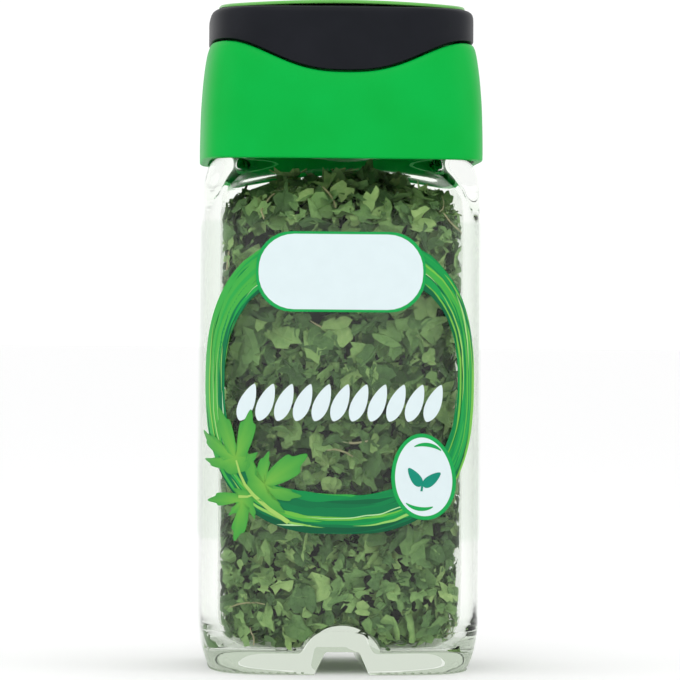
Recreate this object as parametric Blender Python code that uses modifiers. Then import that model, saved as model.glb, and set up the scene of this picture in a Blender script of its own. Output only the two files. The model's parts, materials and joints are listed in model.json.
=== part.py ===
"""A square glass spice jar with a flip-top dispensing cap, full of dried parsley leaf.

The jar stands on z = 0 with its axis on +Z and its front towards -Y. Sizes below are millimetres.
Nearly every wall is a superellipse in plan, |x/a|^n + |y/a|^n = 1: n near 6 is a square with tight
corners, n = 2 is a circle, and a loft between the two makes the shoulder.
"""

import math

import bmesh
import bpy

MM = 0.001
POINTS_ROUND = 48  # points in each ring of a loft

# Glass jar
BASE_HALF = 20.9
BODY_HALF_LOW, BODY_LOW_Z = 22.3, 7.0
BODY_HALF_HIGH, BODY_HIGH_Z = 22.1, 76.6
BODY_POWER = 6.0
WALL = 2.3
FLOOR_Z = 3.4
NECK_BORE, NECK_OUTER, NECK_BEAD = 15.8, 18.2, 18.8
RIM_Z = 92.6
RIDGE_RADIUS, RIDGE_CENTRE_Z = 6.8, 1.1  # hump in the floor, over the channel
CHANNEL_HALF_TOP, CHANNEL_HALF_FOOT, CHANNEL_HEIGHT = 2.7, 4.4, 3.8

# Dried parsley and the clear label
CLEARANCE = 0.3
FILL_TOP_Z = 78.4
LABEL_LOW_Z, LABEL_HIGH_Z = 21.3, 72.0
LABEL_GAP, LABEL_THICK, LABEL_SEAM = 0.15, 0.15, 1.2

# Cap: green collar, black lid and the fitment between them
COLLAR_LOW_Z, COLLAR_TOP_Z, COLLAR_WALL = 81.8, 100.6, 1.2
COLLAR_BORE, DECK = 18.9, 1.2
WAVE_DEPTH, WAVE_HALF, WAVE_SHARPNESS = 5.1, 18.8, 1.45  # the front dips here, for the thumb
WAVE_ROOT_Z = 90.0  # the collar's wall is undisturbed below this
LID_GAP = 0.35
LID_HALF, LID_POWER, LID_WALL = 21.2, 4.2, 1.3
LID_WALL_TOP_Z, LID_DOME_Z = 104.6, 107.1
DISC_HALF, DISC_THICK = 19.5, 0.6
FITMENT_RIM, FITMENT_RIM_Z = 18.6, 102.5
FITMENT_DECK_LOW_Z, FITMENT_DECK_TOP_Z = 97.2, 98.4
POUR_HALF_X, POUR_NEAR_Y, POUR_FAR_Y = 10.5, -3.0, -13.0
SHAKER_HOLE_R, SHAKER_RING_R = 1.7, 10.5

# Hinge
HINGE_Y, HINGE_Z = 20.6, 101.6
BARREL_R, BARREL_HALF = 1.2, 5.8
PIN_R, PIN_CLEARANCE, PIN_HALF = 0.6, 0.08, 7.8
EAR_NEAR_X, EAR_FAR_X = 6.15, 8.15

# Loose leaflets and stalks on top of the fill
LEAF_PITCH, LEAF_SIZE, LEAF_THICK = 8.9, 4.0, 0.35
STALK_R = 0.45

COLOURS = {  # base colour, roughness, transmission
    "glass": ((0.93, 0.97, 0.95, 1), 0.02, 1.0),
    "film": ((0.96, 0.98, 0.96, 1), 0.15, 0.9),
    "green_plastic": ((0.0, 0.48, 0.065, 1), 0.35, 0.0),
    "black_plastic": ((0.018, 0.019, 0.023, 1), 0.4, 0.0),
    "green_disc": ((0.03, 0.30, 0.03, 1), 0.25, 0.0),
    "dried_leaf": ((0.10, 0.18, 0.06, 1), 0.85, 0.0),
    "dried_stalk": ((0.33, 0.28, 0.15, 1), 0.8, 0.0),
}


# Small tools


def clear_scene():
    for thing in list(bpy.data.objects):
        bpy.data.objects.remove(thing)


def make_collection(name):
    collection = bpy.data.collections.new(name)
    bpy.context.scene.collection.children.link(collection)
    return collection


def make_material(name):
    colour, roughness, transmission = COLOURS[name]
    material = bpy.data.materials.new(name)
    material.use_nodes = True
    shader = material.node_tree.nodes["Principled BSDF"]
    shader.inputs["Base Color"].default_value = colour
    shader.inputs["Roughness"].default_value = roughness
    shader.inputs["Transmission Weight"].default_value = transmission
    return material


def add_object(name, collection, material_name=None):
    """A new mesh object from nothing, in metres, in the given collection."""
    thing = bpy.data.objects.new(name, bpy.data.meshes.new(name))
    collection.objects.link(thing)
    if material_name:
        thing.data.materials.append(MATERIALS[material_name])
    return thing


def hide_cutter(thing):
    thing.hide_render = True
    thing.display_type = "WIRE"
    return thing


def smooth(thing, degrees=35):
    thing.data.shade_smooth()
    thing.data.set_sharp_from_angle(angle=math.radians(degrees))


def boolean(thing, other, operation):
    modifier = thing.modifiers.new(f"{operation.lower()} {other.name}", "BOOLEAN")
    modifier.operation = operation
    modifier.object = other


# Plan shapes and lofts


def turns():
    """Directions round a ring, closer together at the corners of a squarish plan."""
    steps = (2 * math.pi * i / POINTS_ROUND for i in range(POINTS_ROUND))
    return [u + 0.1 * math.sin(4 * u) for u in steps]


def plan_point(half, power, turn):
    c, s = math.cos(turn), math.sin(turn)
    reach = half / (abs(c) ** power + abs(s) ** power) ** (1 / power)
    return reach * c, reach * s


def ring(half, power, height):
    """One ring of points. height is a number, or a function of x and y."""
    points = []
    for turn in turns():
        x, y = plan_point(half, power, turn)
        points.append((x, y, height(x, y) if callable(height) else height))
    return points


def loft(name, collection, rings, material_name=None, looped=False, start=None, end=None):
    """A skin over the rings. start and end are pole points; without one that end is a flat cap."""
    thing = add_object(name, collection, material_name)
    mesh = bmesh.new()
    rows = [[mesh.verts.new([c * MM for c in point]) for point in points] for points in rings]
    pairs = list(zip(rows, rows[1:]))
    if looped:
        pairs.append((rows[-1], rows[0]))
    for lower, upper in pairs:
        for i in range(POINTS_ROUND):
            j = (i + 1) % POINTS_ROUND
            mesh.faces.new((lower[i], lower[j], upper[j], upper[i]))
    if not looped:
        for row, pole in ((rows[0], start), (rows[-1], end)):
            close_end(mesh, row, pole)
    bmesh.ops.recalc_face_normals(mesh, faces=mesh.faces)
    mesh.to_mesh(thing.data)
    mesh.free()
    smooth(thing)
    return thing


def close_end(mesh, row, pole):
    if pole is None:
        mesh.faces.new(row)
        return
    tip = mesh.verts.new([c * MM for c in pole])
    for i in range(POINTS_ROUND):
        mesh.faces.new((row[i], row[(i + 1) % POINTS_ROUND], tip))


def box(name, collection, low, high):
    """A box between two corners, in millimetres."""
    thing = add_object(name, collection)
    mesh = bmesh.new()
    bmesh.ops.create_cube(mesh, size=1.0)
    for vertex in mesh.verts:
        vertex.co = [((a + b) / 2 + c * (b - a)) * MM for a, b, c in zip(low, high, vertex.co)]
    mesh.to_mesh(thing.data)
    mesh.free()
    return thing


def rod_along_x(name, collection, radius, x_low, x_high, sides=24):
    """A cylinder on the hinge's axis."""
    thing = add_object(name, collection)
    mesh = bmesh.new()
    length = (x_high - x_low) * MM
    bmesh.ops.create_cone(
        mesh, cap_ends=True, segments=sides, radius1=radius * MM, radius2=radius * MM, depth=length
    )
    mesh.to_mesh(thing.data)
    mesh.free()
    thing.rotation_euler = (0, math.pi / 2, 0)
    thing.location = ((x_low + x_high) / 2 * MM, HINGE_Y * MM, HINGE_Z * MM)
    return thing


def prism_along_y(name, collection, outline, half_length):
    """An x, z outline pushed both ways along Y."""
    thing = add_object(name, collection)
    mesh = bmesh.new()
    near = [mesh.verts.new((x * MM, -half_length * MM, z * MM)) for x, z in outline]
    far = [mesh.verts.new((x * MM, half_length * MM, z * MM)) for x, z in outline]
    mesh.faces.new(near)
    mesh.faces.new(far)
    for i in range(len(outline)):
        j = (i + 1) % len(outline)
        mesh.faces.new((near[i], near[j], far[j], far[i]))
    bmesh.ops.recalc_face_normals(mesh, faces=mesh.faces)
    mesh.to_mesh(thing.data)
    mesh.free()
    return thing


def turned(name, collection, profile, material_name=None, steps=48):
    """A closed r, z profile, listed down its outer side, turned about the jar's axis."""
    thing = add_object(name, collection, material_name)
    mesh = bmesh.new()
    corners = [mesh.verts.new((r * MM, 0, z * MM)) for r, z in profile]
    for a, b in zip(corners, corners[1:]):
        mesh.edges.new((a, b))
    if profile[0][0] > 0:
        mesh.edges.new((corners[-1], corners[0]))
    mesh.to_mesh(thing.data)
    mesh.free()
    screw = thing.modifiers.new("turn", "SCREW")
    screw.steps = screw.render_steps = steps
    screw.use_merge_vertices = True
    screw.merge_threshold = 0.00001
    return thing


# Shapes that two parts share


def body_half(z):
    share = (z - BODY_LOW_Z) / (BODY_HIGH_Z - BODY_LOW_Z)
    return BODY_HALF_LOW + share * (BODY_HALF_HIGH - BODY_HALF_LOW)


def wave(x, y):
    """How far the cap's parting line dips at a point. Only the front half dips."""
    if y > 0 or abs(x) >= WAVE_HALF:
        return 0.0
    return WAVE_DEPTH * math.cos(math.pi / 2 * (abs(x) / WAVE_HALF) ** WAVE_SHARPNESS) ** 2


def cavity_rings(inset):
    """The jar's inside from the floor to the foot of the neck, shrunk by inset."""
    low, high = body_half(12) - WALL - inset, BODY_HALF_HIGH - WALL - inset
    return [
        ring(low - 2.6, 4.5, FLOOR_Z + inset),
        ring(low - 1.0, 5.0, FLOOR_Z + 1.0 + inset),
        ring(low - 0.3, 5.2, FLOOR_Z + 3.0 + inset),
        ring(low, 5.4, 12.0),
        ring(high, 5.4, 74.5),
    ]


def ridge_outline(grow):
    """The arch over the channel: an arc with a flat foot inside the glass."""
    radius = RIDGE_RADIUS + grow
    foot_z = 1.8 - grow
    spread = math.acos((foot_z - RIDGE_CENTRE_Z) / radius)
    steps = 14
    angles = [spread * (2 * i / steps - 1) for i in range(steps + 1)]
    return [(radius * math.sin(a), RIDGE_CENTRE_Z + radius * math.cos(a)) for a in angles]


# The parts


def make_jar():
    outside = [
        ring(BASE_HALF - 1.3, 4.6, 0.0),
        ring(BASE_HALF - 0.2, 4.8, 0.45),
        ring(BASE_HALF + 0.45, 5.0, 1.6),
        ring(BASE_HALF + 1.05, 5.4, 4.0),
        ring(BODY_HALF_LOW, BODY_POWER, BODY_LOW_Z),
        ring(BODY_HALF_HIGH, BODY_POWER, BODY_HIGH_Z),
        ring(21.8, 5.8, 79.2),
        ring(21.25, 5.4, 81.2),
        ring(20.6, 4.6, 81.9),
        ring(19.6, 3.4, 82.6),
        ring(18.4, 2.2, 83.2),
        ring(NECK_OUTER, 2, 84.0),
        ring(NECK_OUTER, 2, 87.4),
        ring(NECK_BEAD, 2, 88.2),
        ring(NECK_BEAD, 2, 89.2),
        ring(NECK_OUTER, 2, 90.0),
        ring(NECK_OUTER, 2, RIM_Z - 0.4),
        ring(NECK_OUTER - 0.5, 2, RIM_Z),
    ]
    inside = [
        ring(NECK_BORE + 0.4, 2, RIM_Z),
        ring(NECK_BORE, 2, RIM_Z - 0.5),
        ring(NECK_BORE, 2, 83.6),
        ring(16.8, 2.4, 81.4),
        ring(18.4, 3.6, 79.0),
        ring(19.5, 4.8, 76.8),
    ]
    jar = loft("glass_jar", parts, outside + inside + cavity_rings(0)[::-1], "glass")
    ridge = hide_cutter(prism_along_y("ridge", cutters, ridge_outline(0), 20.9))
    foot = CHANNEL_HALF_FOOT + 0.45
    outline = [
        (-foot, -1.0),
        (-CHANNEL_HALF_TOP, CHANNEL_HEIGHT),
        (CHANNEL_HALF_TOP, CHANNEL_HEIGHT),
        (foot, -1.0),
    ]
    channel = hide_cutter(prism_along_y("channel", cutters, outline, 30))
    boolean(jar, ridge, "UNION")
    boolean(jar, channel, "DIFFERENCE")


def make_fill():
    """The dried leaf as one closed heap that follows the glass, with an uneven top."""

    def top(x, y):
        lumps = math.sin(0.55 * x + 1) * math.cos(0.48 * y) + 0.6 * math.sin(0.9 * y - 0.5 * x)
        slump = 0.008 * (x * x + y * y)
        return FILL_TOP_Z + 0.6 * lumps - slump

    rings = cavity_rings(CLEARANCE)[:-1]
    rings.append(ring(BODY_HALF_HIGH - WALL - CLEARANCE - 0.1, 5.4, 70.0))
    rings += [ring(half, power, top) for half, power in ((18.2, 4.6), (13.0, 3.4), (7.0, 2.4))]
    fill = loft("parsley_fill", parts, rings, "dried_leaf", end=(0, 0, top(0, 0)))
    ridge = hide_cutter(prism_along_y("ridge_room", cutters, ridge_outline(CLEARANCE), 25))
    boolean(fill, ridge, "DIFFERENCE")


def leaflet_outline(size):
    """A flat parsley leaflet: three toothed lobes spreading from the stem end."""
    points = []
    steps = 24
    for i in range(steps):
        a = 2 * math.pi * i / steps
        lobes = 0.62 + 0.26 * math.cos(3 * a) + 0.10 * math.cos(9 * a)
        points.append((size * lobes * math.cos(a), size * lobes * math.sin(a)))
    return points


def make_leaflet(name, place, turn, tilt, curl):
    """One dried leaflet, curled along its midrib. place is its middle, in millimetres."""
    leaf = add_object(name, parts, "dried_leaf")
    mesh = bmesh.new()
    bend = [(x, y, curl * (x * x - y * y) / LEAF_SIZE) for x, y in leaflet_outline(LEAF_SIZE)]
    rim = [mesh.verts.new([c * MM for c in point]) for point in bend]
    middle = mesh.verts.new((0, 0, 0))
    for i, corner in enumerate(rim):
        mesh.faces.new((corner, rim[(i + 1) % len(rim)], middle))
    mesh.to_mesh(leaf.data)
    mesh.free()
    leaf.location = [c * MM for c in place]
    leaf.rotation_euler = (tilt, 0.6 * tilt, turn)
    skin = leaf.modifiers.new("thickness", "SOLIDIFY")
    skin.thickness = LEAF_THICK * MM
    skin.offset = 0


def make_stalk(name, ends):
    """A bit of dried stem: a thin bevelled curve through its points."""
    curve = bpy.data.curves.new(name, "CURVE")
    curve.dimensions = "3D"
    curve.bevel_depth = STALK_R * MM
    curve.bevel_resolution = 1
    curve.use_fill_caps = True
    spline = curve.splines.new("POLY")
    spline.points.add(len(ends) - 1)
    for point, place in zip(spline.points, ends):
        point.co = (*[c * MM for c in place], 1)
    curve.materials.append(MATERIALS["dried_stalk"])
    parts.objects.link(bpy.data.objects.new(name, curve))


def make_top_leaves():
    """Loose leaflets lying on the heap below the neck, and three bits of stalk above them."""
    golden = math.radians(137.5)
    number = 0
    for row in (-1, 0, 1):
        for column in (-1, 0, 1):
            number += 1
            height = FILL_TOP_Z + 2.3 - 0.9 * (abs(row) + abs(column)) / 2
            place = (column * LEAF_PITCH, row * LEAF_PITCH, height)
            tilt = math.radians(7 * math.sin(2.1 * number))
            make_leaflet(f"top_leaf_{number}", place, golden * number, tilt, 0.09)
    make_stalk("stalk_1", [(-9, -7.0, 82.0), (-5, -5.6, 82.3), (-1, -4.6, 82.2)])
    make_stalk("stalk_2", [(2.0, 1.0, 82.1), (5.5, 3.4, 82.5), (9, 5.0, 82.2)])
    make_stalk("stalk_3", [(-8, 6.5, 82.0), (-4, 7.4, 82.4), (0, 9.0, 82.2)])


def make_label():
    low, high = body_half(LABEL_LOW_Z), body_half(LABEL_HIGH_Z)
    near, far = LABEL_GAP, LABEL_GAP + LABEL_THICK
    rings = [
        ring(low + far, BODY_POWER, LABEL_LOW_Z),
        ring(high + far, BODY_POWER, LABEL_HIGH_Z),
        ring(high + near, BODY_POWER, LABEL_HIGH_Z),
        ring(low + near, BODY_POWER, LABEL_LOW_Z),
    ]
    label = loft("label_film", parts, rings, "film", looped=True)
    half = LABEL_SEAM / 2
    seam = hide_cutter(box("seam", cutters, (-half, 15, 15), (half, 30, 80)))
    boolean(label, seam, "DIFFERENCE")


def make_collar():
    def lowered(z):
        share = max(0.0, (z - WAVE_ROOT_Z) / (COLLAR_TOP_Z - WAVE_ROOT_Z))
        return lambda x, y: z - wave(x, y) * min(1.0, share)

    wall = [  # half-width, power and height, from the bottom up
        (22.35, 6.0, COLLAR_LOW_Z),
        (22.5, 6.0, COLLAR_LOW_Z + 0.5),
        (22.45, 5.8, 88.0),
        (22.25, 5.4, 92.4),
        (21.95, 5.0, 96.5),
        (21.55, 4.6, 99.4),
    ]
    edge = [(21.3, 4.5, 100.2), (20.85, 4.4, COLLAR_TOP_Z)]
    rings = [ring(half, power, lowered(z)) for half, power, z in wall + edge]
    rings.append(ring(COLLAR_BORE, 2, lowered(COLLAR_TOP_Z)))
    under_z = COLLAR_TOP_Z - DECK

    def under(x, y):
        return under_z - wave(x, y)

    rings.append(ring(COLLAR_BORE, 2, under))
    rings.append(ring(20.3, 4.4, under))
    inner = [(half - COLLAR_WALL, power, z) for half, power, z in wall[:5]]
    rings += [ring(half, power, lowered(z)) for half, power, z in reversed(inner)]
    collar = loft("cap_collar", parts, rings, "green_plastic", looped=True)

    pocket_half = EAR_NEAR_X - 0.05
    low, high = (-pocket_half, 17.5, 100.05), (pocket_half, 24, 105)
    pocket = hide_cutter(box("hinge_pocket", cutters, low, high))
    boolean(collar, pocket, "DIFFERENCE")
    for side in (-1, 1):
        x_low, x_high = sorted((side * EAR_NEAR_X, side * EAR_FAR_X))
        ear = hide_cutter(rod_along_x(f"ear{side}", cutters, BARREL_R, x_low, x_high))
        low = (x_low, HINGE_Y - BARREL_R * 0.97, 99.8)
        high = (x_high, HINGE_Y + BARREL_R * 0.8, HINGE_Z)
        stem = hide_cutter(box(f"ear_stem{side}", cutters, low, high))
        boolean(collar, stem, "UNION")
        boolean(collar, ear, "UNION")
    radius = PIN_R + PIN_CLEARANCE
    bore = hide_cutter(rod_along_x("pin_bore", cutters, radius, -12, 12))
    boolean(collar, bore, "DIFFERENCE")


def make_fitment():
    """The inner closure: a sleeve over the glass neck, a plug in it and a holed deck."""
    profile = [
        (0, FITMENT_DECK_TOP_Z),
        (17.6, FITMENT_DECK_TOP_Z),
        (17.6, FITMENT_RIM_Z),
        (FITMENT_RIM, FITMENT_RIM_Z),
        (FITMENT_RIM, 94.1),
        (20.1, 94.1),
        (20.1, 84.6),
        (19.2, 84.6),
        (19.2, RIM_Z + CLEARANCE),
        (15.5, RIM_Z + CLEARANCE),
        (15.5, 88.0),
        (14.7, 88.0),
        (14.7, 94.1),
        (17.4, 94.1),
        (17.4, FITMENT_DECK_LOW_Z),
        (0, FITMENT_DECK_LOW_Z),
    ]
    fitment = turned("sifter_fitment", parts, profile, "green_plastic")
    low = (-POUR_HALF_X, POUR_FAR_Y, 95)
    high = (POUR_HALF_X, POUR_NEAR_Y, 100)
    pour = hide_cutter(box("pour_opening", cutters, low, high))
    bevel = pour.modifiers.new("round corners", "BEVEL")
    bevel.width = 3.0 * MM
    bevel.segments = 4
    bevel.limit_method = "WEIGHT"
    weights = pour.data.attributes.new("bevel_weight_edge", "FLOAT", "EDGE")
    for edge in pour.data.edges:
        a, b = (pour.data.vertices[i].co for i in edge.vertices)
        weights.data[edge.index].value = 1.0 if abs(a.z - b.z) > MM else 0.0
    boolean(fitment, pour, "DIFFERENCE")
    for i in range(5):
        angle = math.radians(30 + 30 * i)
        drill_hole(fitment, f"shaker{i}", SHAKER_RING_R * math.cos(angle), SHAKER_RING_R * math.sin(angle))
    for i, x in enumerate((-5.0, 0.0, 5.0)):
        drill_hole(fitment, f"inner_shaker{i}", x, 3.4)


def drill_hole(thing, name, x, y):
    hole = hide_cutter(add_object(name, cutters))
    mesh = bmesh.new()
    radius = SHAKER_HOLE_R * MM
    bmesh.ops.create_cone(
        mesh, cap_ends=True, segments=16, radius1=radius, radius2=radius, depth=6 * MM
    )
    mesh.to_mesh(hole.data)
    mesh.free()
    hole.location = (x * MM, y * MM, (FITMENT_DECK_LOW_Z + 0.6) * MM)
    boolean(thing, hole, "DIFFERENCE")


def lid_foot(x, y):
    """Height of the lid's lower edge: it follows the collar's wave and lifts a little at the hinge."""
    lift = 0.4 * min(1.0, max(0.0, (y - 16.0) / 3.0))
    return COLLAR_TOP_Z + LID_GAP + lift - wave(x, y)


def make_lid():
    def dome(x, y):
        return LID_DOME_Z - 0.0026 * (x * x + y * y)

    def above_foot(extra):
        return lambda x, y: lid_foot(x, y) + extra

    inner_half = LID_HALF - LID_WALL
    outside = [
        ring(10.0, 3.0, dome),
        ring(DISC_HALF, LID_POWER, dome),
        ring(20.4, LID_POWER, 105.75),
        ring(21.0, LID_POWER, 105.3),
        ring(LID_HALF, LID_POWER, LID_WALL_TOP_Z),
        ring(LID_HALF, LID_POWER, above_foot(0.25)),
        ring(LID_HALF - 0.2, LID_POWER, above_foot(0)),
    ]
    inside = [
        ring(inner_half, LID_POWER, above_foot(0)),
        ring(inner_half, LID_POWER, 103.7),
        ring(inner_half - 0.5, LID_POWER, 104.3),
        ring(inner_half - 1.6, LID_POWER, lambda x, y: dome(x, y) - 1.5),
        ring(10.0, 3.0, lambda x, y: dome(x, y) - 1.5),
    ]
    apex, ceiling = (0, 0, LID_DOME_Z), (0, 0, LID_DOME_Z - 1.5)
    lid = loft("flip_lid", parts, outside + inside, "black_plastic", start=apex, end=ceiling)

    seal_profile = [(17.3, 105.3), (17.3, 101.0), (16.3, 101.0), (16.3, 105.3)]
    seal = hide_cutter(turned("seal_ring", cutters, seal_profile))
    boolean(lid, seal, "UNION")
    for side in (-1, 1):
        x_low, x_high = sorted((side * BARREL_HALF, side * (EAR_FAR_X + CLEARANCE)))
        low, high = (x_low, 18.7, 99), (x_high, 24, HINGE_Z + 1.75)
        notch = hide_cutter(box(f"ear_notch{side}", cutters, low, high))
        boolean(lid, notch, "DIFFERENCE")
    barrel = hide_cutter(rod_along_x("barrel", cutters, BARREL_R, -BARREL_HALF, BARREL_HALF))
    pin = hide_cutter(rod_along_x("pin", cutters, PIN_R, -PIN_HALF, PIN_HALF))
    boolean(lid, barrel, "UNION")
    boolean(lid, pin, "UNION")


def make_disc():
    """The green disc set on the lid's dome."""

    def under(x, y):
        return LID_DOME_Z - 0.0026 * (x * x + y * y) + 0.3

    def over(x, y):
        return under(x, y) + DISC_THICK

    rings = [
        ring(10.0, 3.0, under),
        ring(DISC_HALF - 0.3, LID_POWER, under),
        ring(DISC_HALF - 0.1, LID_POWER, lambda x, y: over(x, y) - 0.25),
        ring(DISC_HALF - 0.4, LID_POWER, over),
        ring(10.0, 3.0, over),
    ]
    foot, apex = (0, 0, under(0, 0)), (0, 0, over(0, 0))
    loft("lid_disc", parts, rings, "green_disc", start=foot, end=apex)


clear_scene()
parts = make_collection("spice_jar")
cutters = make_collection("cutters")
MATERIALS = {name: make_material(name) for name in COLOURS}
make_jar()
make_fill()
make_top_leaves()
make_label()
make_collar()
make_fitment()
make_lid()
make_disc()
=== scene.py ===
import json
import math
import random

import bmesh
import bpy
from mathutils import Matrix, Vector, noise

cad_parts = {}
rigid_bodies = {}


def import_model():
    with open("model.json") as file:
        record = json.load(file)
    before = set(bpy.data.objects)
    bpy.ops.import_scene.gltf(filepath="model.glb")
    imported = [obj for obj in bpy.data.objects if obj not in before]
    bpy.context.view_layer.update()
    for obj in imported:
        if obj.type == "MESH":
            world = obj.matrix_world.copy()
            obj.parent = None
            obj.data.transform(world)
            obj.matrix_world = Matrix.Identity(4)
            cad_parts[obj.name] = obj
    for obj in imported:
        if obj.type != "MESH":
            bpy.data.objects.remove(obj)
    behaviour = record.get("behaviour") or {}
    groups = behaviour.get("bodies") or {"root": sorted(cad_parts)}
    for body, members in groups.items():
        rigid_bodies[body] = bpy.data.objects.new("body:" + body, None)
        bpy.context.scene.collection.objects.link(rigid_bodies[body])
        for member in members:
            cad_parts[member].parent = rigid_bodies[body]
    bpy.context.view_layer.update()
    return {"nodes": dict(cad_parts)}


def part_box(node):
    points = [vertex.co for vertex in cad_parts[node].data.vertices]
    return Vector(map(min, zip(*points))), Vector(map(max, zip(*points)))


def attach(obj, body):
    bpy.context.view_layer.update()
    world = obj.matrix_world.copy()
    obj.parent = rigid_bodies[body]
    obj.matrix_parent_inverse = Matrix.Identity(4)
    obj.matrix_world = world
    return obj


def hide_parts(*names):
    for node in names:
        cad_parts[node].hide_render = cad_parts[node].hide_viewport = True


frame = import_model()

mm = 0.001
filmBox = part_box("label_film")


# materials

def newMaterial(name, colour, roughness=0.5, specular=0.5):
    material = bpy.data.materials.new(name)
    material.use_nodes = True
    shader = material.node_tree.nodes["Principled BSDF"]
    shader.inputs["Base Color"].default_value = (*colour, 1)
    shader.inputs["Roughness"].default_value = roughness
    shader.inputs["Specular IOR Level"].default_value = specular
    return material


def shaderNode(material, kind, **settings):
    node = material.node_tree.nodes.new(kind)
    for key, value in settings.items():
        setattr(node, key, value)
    return node


def join(material, source, target):
    material.node_tree.links.new(source, target)


def objectSpot(material):
    return shaderNode(material, "ShaderNodeTexCoord").outputs["Object"]


def objectAxes(material):
    split = shaderNode(material, "ShaderNodeSeparateXYZ")
    join(material, objectSpot(material), split.inputs[0])
    return split.outputs


def noiseTexture(material, scale, detail):
    # noise on object coordinates, scale in features per metre
    texture = shaderNode(material, "ShaderNodeTexNoise")
    texture.inputs["Scale"].default_value = scale
    texture.inputs["Detail"].default_value = detail
    join(material, objectSpot(material), texture.inputs["Vector"])
    return texture.outputs["Fac"]


def ramp(material, source, stops):
    node = shaderNode(material, "ShaderNodeValToRGB")
    band = node.color_ramp
    while len(band.elements) < len(stops):
        band.elements.new(0.5)
    for element, (place, colour) in zip(band.elements, stops):
        element.position = place
        element.color = (*colour, 1)
    join(material, source, node.inputs["Fac"])
    return node.outputs["Color"]


def addBump(material, height, strength, distance):
    bump = shaderNode(material, "ShaderNodeBump")
    bump.inputs["Strength"].default_value = strength
    bump.inputs["Distance"].default_value = distance
    join(material, height, bump.inputs["Height"])
    join(material, bump.outputs["Normal"], principled(material).inputs["Normal"])


def principled(material):
    return material.node_tree.nodes["Principled BSDF"]


def mouldedPlastic(name, dark, light, roughness, specular):
    # slight clouding in the colour, fine moulding grain in the gloss and the surface
    material = newMaterial(name, light, roughness, specular)
    cloud = noiseTexture(material, 120, 4)
    colour = ramp(material, cloud, [(0.3, dark), (0.7, light)])
    join(material, colour, principled(material).inputs["Base Color"])
    grain = noiseTexture(material, 9000, 2)
    addBump(material, grain, 0.12, 0.00003)
    return material


# where the glass is thick and takes its deeper tint, and where the shoulder bends less (mm)
glassZones = {"baseTop": 4.1, "ridgeWide": 7.0, "ridgeTall": 8.2,
              "shoulderLow": 71, "shoulderHigh": 76, "shoulderIor": 1.06}


def thickShare(material):
    # 1 low down in the base and inside the ridge over its channel, 0 elsewhere
    def figure(operation, a, b=0.0):
        node = shaderNode(material, "ShaderNodeMath", operation=operation)
        for socket, value in zip(node.inputs, (a, b)):
            if isinstance(value, float):
                socket.default_value = value
            else:
                join(material, value, socket)
        return node.outputs[0]

    x, _, z = objectAxes(material)
    across = figure("DIVIDE", x, glassZones["ridgeWide"] * mm)
    up = figure("DIVIDE", z, glassZones["ridgeTall"] * mm)
    round_ = figure("ADD", figure("MULTIPLY", across, across), figure("MULTIPLY", up, up))
    low = figure("LESS_THAN", z, glassZones["baseTop"] * mm)
    return figure("MAXIMUM", figure("LESS_THAN", round_, 1.0), low)


def clearGlass(name, tint, thickTint, ior):
    # bends what is seen through it, and lets lamp light straight in
    material = newMaterial(name, tint)
    nodes = material.node_tree.nodes
    nodes.remove(principled(material))
    glass = shaderNode(material, "ShaderNodeBsdfGlass")
    glass.inputs["Color"].default_value = (*tint, 1)
    glass.inputs["Roughness"].default_value = 0.0
    shade = shaderNode(material, "ShaderNodeMix", data_type="RGBA")
    shade.inputs[6].default_value = (*tint, 1)
    shade.inputs[7].default_value = (*thickTint, 1)
    join(material, thickShare(material), shade.inputs[0])
    join(material, shade.outputs[2], glass.inputs["Color"])
    fade = shaderNode(material, "ShaderNodeMapRange")
    for label, value in (("From Min", glassZones["shoulderLow"] * mm),
                         ("From Max", glassZones["shoulderHigh"] * mm),
                         ("To Min", ior), ("To Max", glassZones["shoulderIor"])):
        fade.inputs[label].default_value = value
    join(material, objectAxes(material)["Z"], fade.inputs["Value"])
    join(material, fade.outputs[0], glass.inputs["IOR"])
    open_ = shaderNode(material, "ShaderNodeBsdfTransparent")
    open_.inputs["Color"].default_value = (*tint, 1)
    mix = shaderNode(material, "ShaderNodeMixShader")
    path = shaderNode(material, "ShaderNodeLightPath")
    either = shaderNode(material, "ShaderNodeMath", operation="MAXIMUM")
    join(material, path.outputs["Is Shadow Ray"], either.inputs[0])
    join(material, path.outputs["Is Diffuse Ray"], either.inputs[1])
    join(material, either.outputs[0], mix.inputs["Fac"])
    join(material, glass.outputs[0], mix.inputs[1])
    join(material, open_.outputs[0], mix.inputs[2])
    join(material, mix.outputs[0], nodes["Material Output"].inputs["Surface"])
    return material


def clearFilm(name, tint, shine):
    # a film too thin to bend light: mostly open, with a little gloss
    material = newMaterial(name, tint)
    nodes = material.node_tree.nodes
    nodes.remove(principled(material))
    open_ = shaderNode(material, "ShaderNodeBsdfTransparent")
    open_.inputs["Color"].default_value = (*tint, 1)
    gloss = shaderNode(material, "ShaderNodeBsdfGlossy")
    gloss.inputs["Roughness"].default_value = 0.12
    mix = shaderNode(material, "ShaderNodeMixShader")
    mix.inputs["Fac"].default_value = shine
    join(material, open_.outputs[0], mix.inputs[1])
    join(material, gloss.outputs[0], mix.inputs[2])
    join(material, mix.outputs[0], nodes["Material Output"].inputs["Surface"])
    return material


def driedLeaf(name, stops, grain):
    # each flake has its own tone, and a mottle finer than a flake lies over it
    material = newMaterial(name, stops[1][1], 0.75, 0.25)
    tone = shaderNode(material, "ShaderNodeAttribute", attribute_name="tone")
    mottle = noiseTexture(material, grain, 3)
    mix = shaderNode(material, "ShaderNodeMix", data_type="FLOAT")
    mix.inputs[0].default_value = 0.42
    join(material, tone.outputs["Fac"], mix.inputs[2])
    join(material, mottle, mix.inputs[3])
    join(material, ramp(material, mix.outputs[0], stops), principled(material).inputs["Base Color"])
    addBump(material, noiseTexture(material, 2500, 3), 0.5, 0.0001)
    return material


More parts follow.
